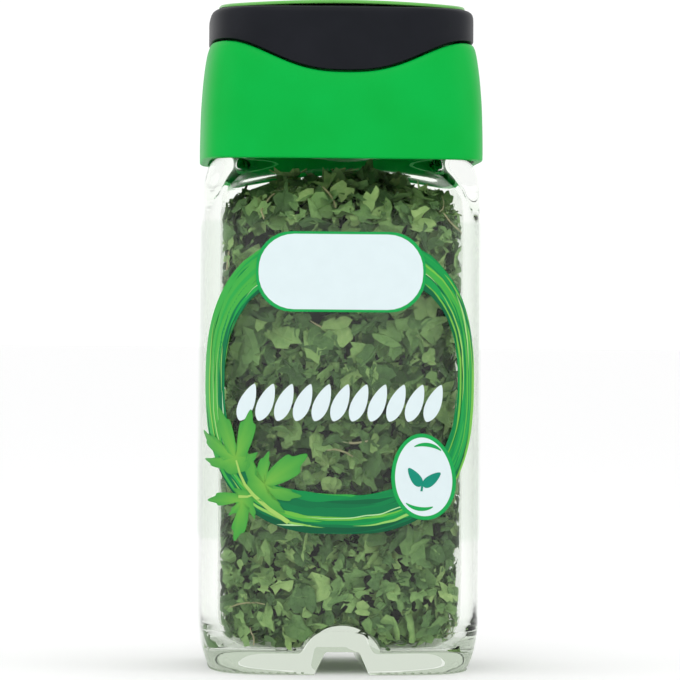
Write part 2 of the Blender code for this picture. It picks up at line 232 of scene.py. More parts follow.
def printedInk(name, stops):
    # ink whose shade follows the strokes' own tone
    material = newMaterial(name, stops[0][1], 0.35, 0.2)
    tone = shaderNode(material, "ShaderNodeAttribute", attribute_name="tone")
    join(material, ramp(material, tone.outputs["Fac"], stops), principled(material).inputs["Base Color"])
    return material


def flatInk(name, colour, mottle=0.06):
    darker = [c * (1 - mottle) for c in colour]
    material = newMaterial(name, colour, 0.35, 0.2)
    cloud = noiseTexture(material, 400, 3)
    join(material, ramp(material, cloud, [(0.35, darker), (0.65, colour)]),
         principled(material).inputs["Base Color"])
    return material


jarGlass = clearGlass("jarGlass", (0.975, 0.985, 0.97), (0.80, 0.835, 0.78), 1.28)
labelFilm = clearFilm("labelFilm", (0.975, 0.985, 0.975), 0.008)
greenPlastic = mouldedPlastic("greenPlastic", (0.0, 0.375, 0.044), (0.0, 0.40, 0.052), 0.42, 0.08)
blackPlastic = mouldedPlastic("blackPlastic", (0.006, 0.007, 0.010), (0.009, 0.010, 0.014), 0.45, 0.11)
discPlastic = mouldedPlastic("discPlastic", (0.10, 0.40, 0.06), (0.14, 0.46, 0.09), 0.3, 0.3)
leafSkin = driedLeaf("leafSkin", [
    (0.08, (0.028, 0.062, 0.022)), (0.34, (0.080, 0.165, 0.052)), (0.60, (0.160, 0.285, 0.092)),
    (0.82, (0.260, 0.39, 0.135)), (0.97, (0.42, 0.53, 0.24))], 900)
# near-black leaf for the heap's heart: painted shade where light does not reach between the flakes
leafPaintedShade = driedLeaf("leafPaintedShade", [
    (0.2, (0.012, 0.017, 0.011)), (0.55, (0.022, 0.034, 0.018)), (0.9, (0.04, 0.06, 0.03))], 500)
stalkSkin = driedLeaf("stalkSkin", [
    (0.1, (0.16, 0.16, 0.07)), (0.5, (0.30, 0.29, 0.15)), (0.9, (0.48, 0.42, 0.27))], 700)
ringInk = printedInk("ringInk", [
    (0.0, (0.0, 0.09, 0.035)), (0.22, (0.0, 0.17, 0.055)), (0.42, (0.002, 0.27, 0.06)),
    (0.60, (0.012, 0.34, 0.06)), (0.76, (0.07, 0.40, 0.05)), (0.88, (0.20, 0.49, 0.055)),
    (0.94, (0.38, 0.66, 0.26)), (1.0, (0.60, 0.80, 0.74))])
sprigInk = printedInk("sprigInk", [
    (0.0, (0.008, 0.15, 0.03)), (0.35, (0.035, 0.29, 0.045)), (0.7, (0.10, 0.37, 0.05)),
    (1.0, (0.17, 0.42, 0.055))])
stemInk = flatInk("stemInk", (0.34, 0.56, 0.12))
whiteInk = flatInk("whiteInk", (0.66, 0.76, 0.78), 0.02)
badgeGreen = flatInk("badgeGreen", (0.004, 0.34, 0.07))
tealInk = flatInk("tealInk", (0.0, 0.24, 0.16))
print("materials made")


# mesh tools

def squarePoint(half, power, turn):
    # one point of |x/half|^power + |y/half|^power = 1
    c, s = math.cos(turn), math.sin(turn)
    reach = half / (abs(c) ** power + abs(s) ** power) ** (1 / power)
    return reach * c, reach * s


def turnsOf(count):
    steps = (2 * math.pi * i / count for i in range(count))
    return [u + 0.1 * math.sin(4 * u) for u in steps]  # closer together at the corners


def squareRing(half, power, height, count):
    points = []
    for turn in turnsOf(count):
        x, y = squarePoint(half, power, turn)
        points.append((x, y, height(x, y) if callable(height) else height))
    return points


def refine(rows, steps):
    # a smooth run of half, power, height rows through the given ones
    fine = []
    for i in range(len(rows) - 1):
        a, b, c, d = (rows[max(0, min(len(rows) - 1, i + k))] for k in (-1, 0, 1, 2))
        for step in range(steps):
            t = step / steps
            fine.append(tuple(
                0.5 * (2 * q + (r - p) * t + (2 * p - 5 * q + 4 * r - s) * t * t
                       + (3 * q - p - 3 * r + s) * t ** 3)
                for p, q, r, s in zip(a, b, c, d)))
    fine.append(rows[-1])
    return fine


def newPiece(name, mesh, material):
    # the mesh is in millimetres, the piece in metres
    data = bpy.data.meshes.new(name)
    for vertex in mesh.verts:
        vertex.co *= mm
    mesh.to_mesh(data)
    mesh.free()
    if material:
        data.materials.append(material)
    piece = bpy.data.objects.new(name, data)
    bpy.context.scene.collection.objects.link(piece)
    return piece


def loft(name, rings, material, looped=False, start=None, end=None, sharp=40):
    mesh = bmesh.new()
    rows = [[mesh.verts.new(p) for p in points] for points in rings]
    pairs = list(zip(rows, rows[1:])) + ([(rows[-1], rows[0])] if looped else [])
    count = len(rings[0])
    for lower, upper in pairs:
        for i in range(count):
            j = (i + 1) % count
            mesh.faces.new((lower[i], lower[j], upper[j], upper[i]))
    for row, pole in ((rows[0], start), (rows[-1], end)):
        if pole is not None:
            tip = mesh.verts.new(pole)
            for i in range(count):
                mesh.faces.new((row[i], row[(i + 1) % count], tip))
    bmesh.ops.recalc_face_normals(mesh, faces=mesh.faces)
    piece = newPiece(name, mesh, material)
    piece.data.shade_smooth()
    piece.data.set_sharp_from_angle(angle=math.radians(sharp))
    return piece


def prismAlongY(name, outline, halfLength):
    mesh = bmesh.new()
    near = [mesh.verts.new((x, -halfLength, z)) for x, z in outline]
    far = [mesh.verts.new((x, halfLength, z)) for x, z in outline]
    mesh.faces.new(near)
    mesh.faces.new(far)
    for i in range(len(outline)):
        j = (i + 1) % len(outline)
        mesh.faces.new((near[i], near[j], far[j], far[i]))
    bmesh.ops.recalc_face_normals(mesh, faces=mesh.faces)
    return newPiece(name, mesh, None)


def rodAlongX(name, radius, low, high, y, z, sides=48):
    mesh = bmesh.new()
    rings = [[mesh.verts.new((x, y + radius * math.sin(2 * math.pi * i / sides),
                              z + radius * math.cos(2 * math.pi * i / sides)))
              for i in range(sides)] for x in (low, high)]
    mesh.faces.new(rings[0])
    mesh.faces.new(rings[1])
    for i in range(sides):
        j = (i + 1) % sides
        mesh.faces.new((rings[0][i], rings[0][j], rings[1][j], rings[1][i]))
    bmesh.ops.recalc_face_normals(mesh, faces=mesh.faces)
    return newPiece(name, mesh, None)


def blockOf(name, low, high):
    mesh = bmesh.new()
    bmesh.ops.create_cube(mesh, size=1.0)
    for vertex in mesh.verts:
        vertex.co = [(a + b) / 2 + c * (b - a) for a, b, c in zip(low, high, vertex.co)]
    return newPiece(name, mesh, None)


def cutWith(piece, *tools):
    # tools is a run of (operation, tool piece) pairs, used up here
    for operation, tool in tools:
        modifier = piece.modifiers.new(tool.name, "BOOLEAN")
        modifier.operation = operation
        modifier.object = tool
    bpy.context.view_layer.update()
    evaluated = piece.evaluated_get(bpy.context.evaluated_depsgraph_get())
    mesh = bpy.data.meshes.new_from_object(evaluated)
    piece.modifiers.clear()
    piece.data = mesh
    mesh.shade_smooth()
    mesh.set_sharp_from_angle(angle=math.radians(32))
    for operation, tool in tools:
        bpy.data.objects.remove(tool)


def finishPiece(piece, body, slot, *nodes):
    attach(piece, body)
    if nodes:
        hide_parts(*nodes)


# geometry node tools

socketKinds = {int: "Int", float: "Float", bpy.types.Material: "Material", bpy.types.Collection: "Collection"}


def startTree(name, values, takesMesh=False):
    # one named input for each value the tree is run with
    tree = bpy.data.node_groups.new(name, "GeometryNodeTree")
    if takesMesh:
        tree.interface.new_socket("Geometry", in_out="INPUT", socket_type="NodeSocketGeometry")
    for label, value in values.items():
        kind = "NodeSocket" + socketKinds[type(value)]
        tree.interface.new_socket(label, in_out="INPUT", socket_type=kind)
    tree.interface.new_socket("Geometry", in_out="OUTPUT", socket_type="NodeSocketGeometry")
    return tree, tree.nodes.new("NodeGroupInput").outputs


def feed(tree, socket, value):
    if isinstance(value, bpy.types.NodeSocket):
        tree.links.new(value, socket)
    else:
        socket.default_value = value


def treeNode(tree, kind, sockets=None, **settings):
    node = tree.nodes.new(kind)
    for key, value in settings.items():
        setattr(node, key, value)
    for key, value in (sockets or {}).items():
        feed(tree, node.inputs[key], value)
    return node


def calc(tree, operation, *values):
    return treeNode(tree, "ShaderNodeMath", dict(enumerate(values)), operation=operation).outputs[0]


def combine(tree, x, y, z):
    return treeNode(tree, "ShaderNodeCombineXYZ", {0: x, 1: y, 2: z}).outputs[0]


def parts(tree, vector):
    return treeNode(tree, "ShaderNodeSeparateXYZ", {0: vector}).outputs


def randomFloat(tree, low, high, seed, offset):
    # one value for each point, from the tree's seed
    node = treeNode(tree, "FunctionNodeRandomValue", data_type="FLOAT")
    feed(tree, node.inputs[2], low)
    feed(tree, node.inputs[3], high)
    feed(tree, node.inputs["Seed"], calc(tree, "ADD", seed, offset))
    return node.outputs[1]


def storeFloat(tree, geometry, name, value):
    node = treeNode(tree, "GeometryNodeStoreNamedAttribute", data_type="FLOAT", domain="POINT")
    feed(tree, node.inputs["Geometry"], geometry)
    feed(tree, node.inputs["Name"], name)
    feed(tree, node.inputs["Value"], value)
    return node.outputs["Geometry"]


def readFloat(tree, name):
    node = treeNode(tree, "GeometryNodeInputNamedAttribute", {"Name": name}, data_type="FLOAT")
    return node.outputs[0]


def squareNorm(tree, x, y, power):
    # how far out a point lies, in a plan with squarish rings
    sides = [calc(tree, "POWER", calc(tree, "ABSOLUTE", c), power) for c in (x, y)]
    total = calc(tree, "ADD", *sides)
    return calc(tree, "POWER", total, calc(tree, "DIVIDE", 1.0, power))


def endTree(tree, geometry, material):
    real = treeNode(tree, "GeometryNodeRealizeInstances", {"Geometry": geometry}).outputs[0]
    dressed = treeNode(tree, "GeometryNodeSetMaterial", {"Geometry": real, "Material": material})
    tree.links.new(dressed.outputs[0], tree.nodes.new("NodeGroupOutput").inputs[0])


def runTree(name, tree, values, base=None):
    # evaluates the tree once and keeps its plain mesh
    mesh = base or bpy.data.meshes.new(name)
    piece = bpy.data.objects.new(name, mesh)
    bpy.context.scene.collection.objects.link(piece)
    modifier = piece.modifiers.new(tree.name, "NODES")
    modifier.node_group = tree
    for item in tree.interface.items_tree:
        if item.item_type == "SOCKET" and item.in_out == "INPUT" and item.name in values:
            modifier[item.identifier] = values[item.name]
    bpy.context.view_layer.update()
    evaluated = piece.evaluated_get(bpy.context.evaluated_depsgraph_get())
    result = bpy.data.meshes.new_from_object(evaluated)
    piece.modifiers.clear()
    piece.data = result
    result.name = name
    return piece


# glass jar

jar = {
    "points": 176,
    "outside": [  # half-width, power, height, from the foot up to the root of the neck
        (19.6, 4.6, 0.0), (20.3, 4.7, 0.12), (20.75, 4.8, 0.6), (21.25, 5.0, 1.6), (21.85, 5.4, 3.8),
        (22.25, 5.8, 6.6), (22.3, 6.0, 9.5), (22.25, 6.0, 30.0), (22.17, 6.0, 52.0),
        (22.1, 6.0, 74.0), (22.08, 5.9, 77.0), (21.85, 5.8, 79.0), (21.35, 5.4, 80.8),
        (20.6, 4.6, 81.85), (19.6, 3.4, 82.5), (18.6, 2.4, 83.0), (18.2, 2.0, 84.0)],
    "neck": [(18.2, 87.4), (18.8, 88.2), (18.8, 89.2), (18.2, 90.0), (18.2, 92.2), (17.9, 92.6),
             (16.1, 92.6), (15.8, 92.2)],
    "inside": [
        (15.8, 2.0, 84.0), (16.1, 2.1, 82.8), (17.0, 2.6, 81.2), (18.4, 3.6, 79.2), (19.55, 4.7, 77.0),
        (20.0, 5.4, 74.5), (20.15, 5.6, 70.0), (20.2, 5.6, 40.0), (20.25, 5.6, 12.0),
        (19.9, 5.4, 7.0), (19.1, 5.0, 4.9), (18.2, 4.7, 4.15), (15.5, 4.2, 3.75), (9.0, 3.6, 3.4)],
    "floor": 3.3,
    "ridgeRadius": 6.8, "ridgeCentre": 1.1,
    "channelTop": 2.7, "channelFoot": 4.4, "channelHeight": 3.8,
}


def makeGlass():
    count = jar["points"]
    rings = [squareRing(*row, count) for row in refine(jar["outside"], 4)]
    rings += [squareRing(r, 2, z, count) for r, z in jar["neck"]]
    rings += [squareRing(*row, count) for row in refine(jar["inside"], 4)]
    rings.insert(0, squareRing(10.0, 3.0, 0.0, count))
    glass = loft("jarGlassBody", rings, jarGlass, start=(0, 0, 0), end=(0, 0, jar["floor"]))
    radius, centre = jar["ridgeRadius"], jar["ridgeCentre"]
    spread = math.acos((1.8 - centre) / radius)
    arch = [(radius * math.sin(a), centre + radius * math.cos(a))
            for a in (spread * (2 * i / 48 - 1) for i in range(49))]
    ridge = prismAlongY("ridge", arch, 20.9)
    foot, top, height = jar["channelFoot"] + 0.45, jar["channelTop"], jar["channelHeight"]
    trough = [(-foot, -1.0), (-top - 0.1, height - 0.25), (-top + 0.25, height),
              (top - 0.25, height), (top + 0.1, height - 0.25), (foot, -1.0)]
    channel = prismAlongY("channel", trough, 30)
    cutWith(glass, ("UNION", ridge), ("DIFFERENCE", channel))
    finishPiece(glass, "jar", "glass", "glass_jar")


makeGlass()
print("glass jar made")


# knurled dots round the foot of the glass

footDots = {"count": 118, "half": 20.6, "power": 4.8, "height": 0.42, "radius": 0.26, "flat": 0.6,
            "channelHalf": 5.1}


def makeFootDots():
    values = {
        "Count": footDots["count"], "Half": footDots["half"] * mm, "Power": footDots["power"],
        "Height": footDots["height"] * mm, "Radius": footDots["radius"] * mm,
        "Flat": footDots["flat"], "Material": jarGlass}
    tree, given = startTree("footDots", values)
    ring = treeNode(tree, "GeometryNodeMeshCircle", {"Vertices": given["Count"], "Radius": 1.0})
    x, y, _ = parts(tree, treeNode(tree, "GeometryNodeInputPosition").outputs[0])
    reach = calc(tree, "DIVIDE", given["Half"], squareNorm(tree, x, y, given["Power"]))
    place = combine(tree, calc(tree, "MULTIPLY", x, reach), calc(tree, "MULTIPLY", y, reach),
                    given["Height"])
    moved = treeNode(tree, "GeometryNodeSetPosition", {"Geometry": ring.outputs[0], "Position": place})
    x, y, _ = parts(tree, place)
    clear = calc(tree, "GREATER_THAN", calc(tree, "ABSOLUTE", x), footDots["channelHalf"] * mm)
    dot = treeNode(tree, "GeometryNodeMeshUVSphere",
                   {"Segments": 8, "Rings": 5, "Radius": given["Radius"]})
    spread = treeNode(tree, "GeometryNodeInstanceOnPoints",
                      {"Points": moved.outputs[0], "Selection": clear, "Instance": dot.outputs[0],
                       "Scale": combine(tree, 1.0, 1.0, given["Flat"])})
    endTree(tree, spread.outputs[0], given["Material"])
    dots = runTree("footDots", tree, values)
    dots.data.shade_smooth()
    finishPiece(dots, "jar", "glass")


makeFootDots()
print("foot dots made")


# dried leaf: a heart painted near black as shade deep in the heap, with loose flakes pressed against the
# glass all round it

leafBed = {
    "layers": [(0.55, 150000), (1.7, 170000), (3.0, 170000)],  # inset, flakes per square metre
    "crumbs": 380000, "heartInset": 4.2, "top": 80.2, "wall": 19.95, "power": 5.6, "shoulderStart": 75.6,
    "shoulderSlope": 0.62, "floor": 4.0, "seed": 11, "small": 0.45, "large": 1.25, "tilt": 46,
    "stalks": 5200,
}


def bedTop(x, y, lift=0.0):
    lumps = noise.noise(Vector((0.16 * x, 0.16 * y, 3.1))) * 2.6
    return leafBed["top"] + lift + lumps - 0.0105 * (x * x + y * y)


def bedRings(inset, count, lift=0.0):
    low, high = 20.2 - inset, 20.1 - inset
    rows = [(low - 4.5, 4.2, 3.7 + inset), (low - 1.6, 4.8, 4.3 + inset), (low - 0.3, 5.2, 6.8 + inset),
            (low, 5.4, 12.0), (high, 5.4, 42.0), (high, 5.4, 73.0)]
    rings = [squareRing(*row, count) for row in rows]
    top = lambda x, y: bedTop(x, y, lift - inset)
    rings += [squareRing(half, power, top, count)
              for half, power in ((high - 1.2, 4.4), (high - 4.5, 3.6), (10.0, 3.0), (5.0, 2.2))]
    return rings


def flakeShape(name, size, lobes, fold, curl, seed, count=12, inner=(0.55,)):
    # a thin closed scrap of leaf with a ragged lobed edge, folded along its middle and curled
    dice = random.Random(seed)
    mesh = bmesh.new()
    phase = dice.uniform(0, 6.28)
    reaches = []
    for i in range(count):
        lobe = 0.24 * math.cos(lobes * 2 * math.pi * i / count + phase)
        reaches.append(size * (0.74 + lobe + dice.uniform(-0.2, 0.2)))
    bump = [dice.uniform(-0.07, 0.07) * size for i in range(count)]
    sheets = []
    for thick in (0.05, -0.05):
        rows = []
        for share in (*inner, 1.0):
            if share == 1.0 and sheets:
                rows.append(sheets[0][-1])
                continue
            row = []
            for i in range(count):
                a = 2 * math.pi * i / count
                x = 1.3 * reaches[i] * share * math.cos(a)
                y = 0.82 * reaches[i] * share * math.sin(a)
                z = fold * abs(y) + curl * x * x / size + bump[i] * share * share + thick * (1 - share)
                row.append(mesh.verts.new((x, y, z)))
            rows.append(row)
        sheets.append(rows)
        middle = mesh.verts.new((0, 0, thick))
        for i in range(count):
            j = (i + 1) % count
            faces = [(middle, rows[0][i], rows[0][j])]
            faces += [(a[i], b[i], b[j], a[j]) for a, b in zip(rows, rows[1:])]
            for face in faces:
                mesh.faces.new(face if thick > 0 else face[::-1])
    return newPiece(name, mesh, leafSkin)


def stalkShape(name, length, thick, bend, seed):
    dice = random.Random(seed)
    mesh = bmesh.new()
    rows = []
    for i in range(5):
        t = i / 4 - 0.5
        radius = thick * (1.0 if 0 < i < 4 else 0.7)
        sway = bend * (0.25 - t * t) * length + dice.uniform(-0.05, 0.05)
        rows.append([mesh.verts.new((t * length, sway + radius * math.cos(k * 1.5708),
                                     radius * math.sin(k * 1.5708))) for k in range(4)])
    for a, b in zip(rows, rows[1:]):
        for k in range(4):
            mesh.faces.new((a[k], a[(k + 1) % 4], b[(k + 1) % 4], b[k]))
    mesh.faces.new(rows[0])
    mesh.faces.new(rows[-1])
    bmesh.ops.recalc_face_normals(mesh, faces=mesh.faces)
    return newPiece(name, mesh, stalkSkin)


def gather(name, shapes):
    box = bpy.data.collections.new(name)
    bpy.context.scene.collection.children.link(box)
    for shape in shapes:
        bpy.context.scene.collection.objects.unlink(shape)
        box.objects.link(shape)
    return box


def empty(box):
    for shape in list(box.objects):
        bpy.data.objects.remove(shape)
    bpy.data.collections.remove(box)


def scatterTree(values):
    tree, given = startTree("scatterInJar", values, takesMesh=True)
    seed = given["Seed"]
    strewn = treeNode(tree, "GeometryNodeDistributePointsOnFaces",
                      {"Mesh": given["Geometry"], "Density": given["Density"], "Seed": seed})
    points = storeFloat(tree, strewn.outputs["Points"], "tone", randomFloat(tree, 0.0, 1.0, seed, 1))
    lean = [randomFloat(tree, calc(tree, "MULTIPLY", given["Tilt"], -1.0), given["Tilt"], seed, k)
            for k in (2, 3)]
    spin = combine(tree, *lean, randomFloat(tree, 0.0, 6.2832, seed, 4))
    turned = treeNode(tree, "FunctionNodeRotateRotation",
                      {"Rotation": strewn.outputs["Rotation"], "Rotate By": spin},
                      rotation_space="LOCAL")
    size = randomFloat(tree, given["Small"], given["Large"], seed, 5)
    shapes = treeNode(tree, "GeometryNodeCollectionInfo",
                      {"Collection": given["Shapes"], "Separate Children": True,
                       "Reset Children": True})
    laid = treeNode(tree, "GeometryNodeInstanceOnPoints",
                    {"Points": points, "Instance": shapes.outputs[0], "Pick Instance": True,
                     "Rotation": turned.outputs[0], "Scale": size})
    real = treeNode(tree, "GeometryNodeRealizeInstances", {"Geometry": laid.outputs[0]}).outputs[0]
    # whatever would stand through the glass is pressed flat against it
    x, y, z = parts(tree, treeNode(tree, "GeometryNodeInputPosition").outputs[0])
    rise = calc(tree, "MAXIMUM", calc(tree, "SUBTRACT", z, given["Shoulder Start"]), 0.0)
    room = calc(tree, "SUBTRACT", given["Wall"], calc(tree, "MULTIPLY", rise, given["Shoulder Slope"]))
    share = calc(tree, "MINIMUM", calc(tree, "DIVIDE", room, squareNorm(tree, x, y, given["Power"])), 1.0)
    x, y = calc(tree, "MULTIPLY", x, share), calc(tree, "MULTIPLY", y, share)
    up = calc(tree, "SUBTRACT", z, given["Ridge Centre"])
    away = calc(tree, "SQRT", calc(tree, "ADD", calc(tree, "MULTIPLY", x, x), calc(tree, "MULTIPLY", up, up)))
    push = calc(tree, "MAXIMUM", calc(tree, "DIVIDE", given["Ridge Radius"], away), 1.0)
    x = calc(tree, "MULTIPLY", x, push)
    z = calc(tree, "ADD", calc(tree, "MULTIPLY", up, push), given["Ridge Centre"])
    z = calc(tree, "MAXIMUM", z, given["Floor"])
    packed = treeNode(tree, "GeometryNodeSetPosition", {"Geometry": real, "Position": combine(tree, x, y, z)})
    endTree(tree, packed.outputs[0], given["Material"])
    return tree


def bedMesh(inset, count=48):
    shell = loft("bedShell", bedRings(inset, count), None, start=(0, 0, 3.7 + inset),
                 end=(0, 0, bedTop(0, 0, -inset)))
    mesh = shell.data
    bpy.data.objects.remove(shell)
    return mesh


def makeLeafBed():
    # the heart's near-black colour is painted shade behind the outer flakes
    heart = loft("leafHeart", bedRings(leafBed["heartInset"], 64), leafPaintedShade,
                 start=(0, 0, 3.7 + leafBed["heartInset"]),
                 end=(0, 0, bedTop(0, 0, -leafBed["heartInset"])), sharp=180)
    radius, centre = jar["ridgeRadius"] + 1.2, jar["ridgeCentre"]
    arch = [(radius * math.sin(a), centre + radius * math.cos(a))
            for a in (math.radians(6 * i - 93) for i in range(32))]
    cutWith(heart, ("DIFFERENCE", prismAlongY("ridgeRoom", arch, 25)))
    finishPiece(heart, "jar", "dried_leaf", "parsley_fill")

    dice = random.Random(leafBed["seed"])
    flakes = gather("flakeShapes", [
        flakeShape(f"flake{i}", dice.uniform(1.3, 2.9), dice.choice((2, 3, 3, 4, 5)),
                   dice.uniform(-0.5, 0.75), dice.uniform(-0.3, 0.3), i) for i in range(16)])
    crumbs = gather("crumbShapes", [
        flakeShape(f"crumb{i}", dice.uniform(0.45, 1.0), 3, dice.uniform(-0.5, 0.5),
                   dice.uniform(-0.3, 0.3), 60 + i, 7, ()) for i in range(6)])
    stalks = gather("stalkShapes", [
        stalkShape(f"stalk{i}", dice.uniform(3.5, 8.5), dice.uniform(0.14, 0.26),
                   dice.uniform(-0.5, 0.5), 40 + i) for i in range(5)])
    common = {
        "Wall": leafBed["wall"] * mm, "Power": leafBed["power"],
        "Shoulder Start": leafBed["shoulderStart"] * mm, "Shoulder Slope": leafBed["shoulderSlope"],
        "Floor": leafBed["floor"] * mm, "Ridge Radius": (jar["ridgeRadius"] + 0.25) * mm,
        "Ridge Centre": jar["ridgeCentre"] * mm}
    flakeSizes = (leafBed["small"], leafBed["large"], math.radians(leafBed["tilt"]))
    # name, shapes, inset, density, seed step, smallest, largest, tilt, material, slot, replaced nodes
    leaf = (leafSkin, "dried_leaf", ())
    strewn = [(f"leafLayer{number + 1}", flakes, inset, density, number, *flakeSizes, *leaf)
              for number, (inset, density) in enumerate(leafBed["layers"])]
    strewn.append(("leafCrumbs", crumbs, 1.0, leafBed["crumbs"], 7, 0.6, 1.3, 0.9, *leaf))
    strewn.append(("stalkBits", stalks, 0.5, leafBed["stalks"], 9, 0.6, 1.1, 0.2,
                   stalkSkin, "dried_stalk", ("stalk_1", "stalk_2", "stalk_3")))
    tree = None
    for name, shapes, inset, density, step, small, large, tilt, skin, slot, nodes in strewn:
        values = dict(common, Shapes=shapes, Density=float(density), Seed=leafBed["seed"] + step,
                      Small=small, Large=large, Tilt=tilt, Material=skin)
        tree = tree or scatterTree(values)
        layer = runTree(name, tree, values, bedMesh(inset))
        finishPiece(layer, "jar", slot, *nodes)
        print(layer.name, len(layer.data.polygons), "faces")
    for box in (flakes, crumbs, stalks):
        empty(box)


makeLeafBed()
print("dried leaf made")


# loose leaflets lying on top of the heap, with toothed lobes

topLeaves = {"size": 5.2, "count": 9, "thick": 0.16}


def leafOutline(size, lobes, steps):
    # outline about the stem end, pointing along +X: lobes is a run of (degrees, length, spread)
    points = []
    for i in range(steps + 1):
        degrees = -110 + 220 * i / steps
        reach = 0.10 + 0.24 * math.cos(math.radians(degrees) * 0.8)
        for middle, length, spread in lobes:
            off = (degrees - middle) / spread
            if abs(off) < 1:
                teeth = 1 + 0.07 * math.cos(off * 3.1416 * 3)
                reach = max(reach, length * teeth * (1 - abs(off) ** 1.8) ** 0.5)
        a = math.radians(degrees)
        points.append((size * reach * math.cos(a), size * reach * math.sin(a)))
    return points


def makeTopLeaves():
    dice = random.Random(5)
    for number in range(topLeaves["count"]):
        node = f"top_leaf_{number + 1}"
        low, high = (Vector(corner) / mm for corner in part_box(node))
        middle = (low + high) / 2
        turn, size = dice.uniform(0, 6.28), topLeaves["size"] * dice.uniform(0.8, 1.15)
        fold, curl = dice.uniform(0.15, 0.4), dice.uniform(-0.04, 0.07)
        lobes = [(-66, 0.58, 15), (-32, 0.84, 17), (2, 1.0, 17), (36, 0.82, 17), (68, 0.6, 15)]
        outline = leafOutline(size, lobes, 90)
        mesh = bmesh.new()
        rows = []
        for share in (0.35, 0.7, 1.0):
            row = []
            for x, y in outline:
                x, y = x * share - size * 0.35, y * share
                z = fold * abs(y) * 0.6 + curl * x * x + 0.5 * noise.noise(Vector((x * 0.5, y * 0.5, number)))
                row.append(mesh.verts.new((middle.x + x * math.cos(turn) - y * math.sin(turn),
                                           middle.y + x * math.sin(turn) + y * math.cos(turn),
                                           middle.z + z)))
            rows.append(row)
        root = mesh.verts.new((middle.x - size * 0.35 * math.cos(turn),
                               middle.y - size * 0.35 * math.sin(turn), middle.z))
        for i in range(len(outline) - 1):
            mesh.faces.new((root, rows[0][i], rows[0][i + 1]))
            for a, b in zip(rows, rows[1:]):
                mesh.faces.new((a[i], b[i], b[i + 1], a[i + 1]))
        bmesh.ops.recalc_face_normals(mesh, faces=mesh.faces)
        leaf = newPiece(f"looseLeaf{number + 1}", mesh, leafSkin)
        tones = leaf.data.attributes.new("tone", "FLOAT", "POINT")
        tone = dice.uniform(0.35, 0.85)
        for item in tones.data:
            item.value = tone
        wall = leaf.modifiers.new("thickness", "SOLIDIFY")
        wall.thickness = topLeaves["thick"] * mm
        wall.offset = 0
        leaf.data.shade_smooth()
        finishPiece(leaf, "jar", "dried_leaf", node)


makeTopLeaves()
print("loose leaves made")


# clear label film, a sleeve with its seam at the back

film = {
    "low": filmBox[0][2] / mm, "high": filmBox[1][2] / mm, "halfLow": 22.56, "halfHigh": 22.415,
    "lowZ": 21.3, "highZ": 72.0, "power": 6.0, "seam": 1.2, "thick": 0.15,
    "cornerTurn": 2.2,
}


def filmHalf(z):
    share = (z - film["lowZ"]) / (film["highZ"] - film["lowZ"])
    return film["halfLow"] + share * (film["halfHigh"] - film["halfLow"])


def onLabel(x, z, lift):
    # a point of the label's front, raised by lift; near its sides it wraps round the corner
    half = filmHalf(z) + lift
    turn = film["cornerTurn"]
    flat = half - turn
    if abs(x) > flat:
        x = math.copysign(flat + turn * math.tanh((abs(x) - flat) / turn), x)
    depth = half * (1 - min(0.999, abs(x / half)) ** film["power"]) ** (1 / film["power"])
    return x, -depth, z


def makeFilm():
    values = {
        "Around": 240, "Rows": 5, "Half Low": film["halfLow"] * mm, "Half High": film["halfHigh"] * mm,
        "Low": film["low"] * mm, "High": film["high"] * mm, "Power": film["power"],
        "Seam": film["seam"] / 22.5, "Material": labelFilm}
    tree, given = startTree("filmSleeve", values)
    grid = treeNode(tree, "GeometryNodeMeshGrid",
                    {"Size X": 1.0, "Size Y": 1.0, "Vertices X": given["Around"],
                     "Vertices Y": given["Rows"]})
    u, v, _ = parts(tree, treeNode(tree, "GeometryNodeInputPosition").outputs[0])
    # u runs once round from one side of the seam at +Y to the other
    full = calc(tree, "SUBTRACT", 6.283185, given["Seam"])
    turn = calc(tree, "ADD", calc(tree, "MULTIPLY", u, full), -1.570796)
    x, y = calc(tree, "COSINE", turn), calc(tree, "SINE", turn)
    share = calc(tree, "ADD", v, 0.5)
    half = calc(tree, "ADD", given["Half Low"], calc(
        tree, "MULTIPLY", share, calc(tree, "SUBTRACT", given["Half High"], given["Half Low"])))
    reach = calc(tree, "DIVIDE", half, squareNorm(tree, x, y, given["Power"]))
    z = calc(tree, "ADD", given["Low"], calc(
        tree, "MULTIPLY", share, calc(tree, "SUBTRACT", given["High"], given["Low"])))
    place = combine(tree, calc(tree, "MULTIPLY", x, reach), calc(tree, "MULTIPLY", y, reach), z)
    moved = treeNode(tree, "GeometryNodeSetPosition", {"Geometry": grid.outputs[0], "Position": place})
    endTree(tree, moved.outputs[0], given["Material"])
    sleeve = runTree("labelSleeve", tree, values)
    sleeve.data.shade_smooth()
    wall = sleeve.modifiers.new("thickness", "SOLIDIFY")
    wall.thickness = film["thick"] * mm
    wall.offset = -1
    finishPiece(sleeve, "jar", "film", "label_film")


makeFilm()
print("label film made")


# print on the label: a brushed ring, an egg badge, a drawn sprig, a blank panel and a row of leaves

ring = {
    "centreX": -0.55, "centreZ": 46.35, "innerX": 18.3, "outerX": 21.2, "innerZ": 17.8, "outerZ": 23.8,
    "strokes": 84, "seed": 4, "lift": 0.03, "step": 0.0006, "square": 0.78,
}


def taperedHalf(tree, given, z):
    # the film's half-width at a height
    share = calc(tree, "DIVIDE", calc(tree, "SUBTRACT", z, given["Low"]),
                 calc(tree, "SUBTRACT", given["High"], given["Low"]))
    slope = calc(tree, "SUBTRACT", given["Half High"], given["Half Low"])
    return calc(tree, "ADD", given["Half Low"], calc(tree, "MULTIPLY", share, slope))


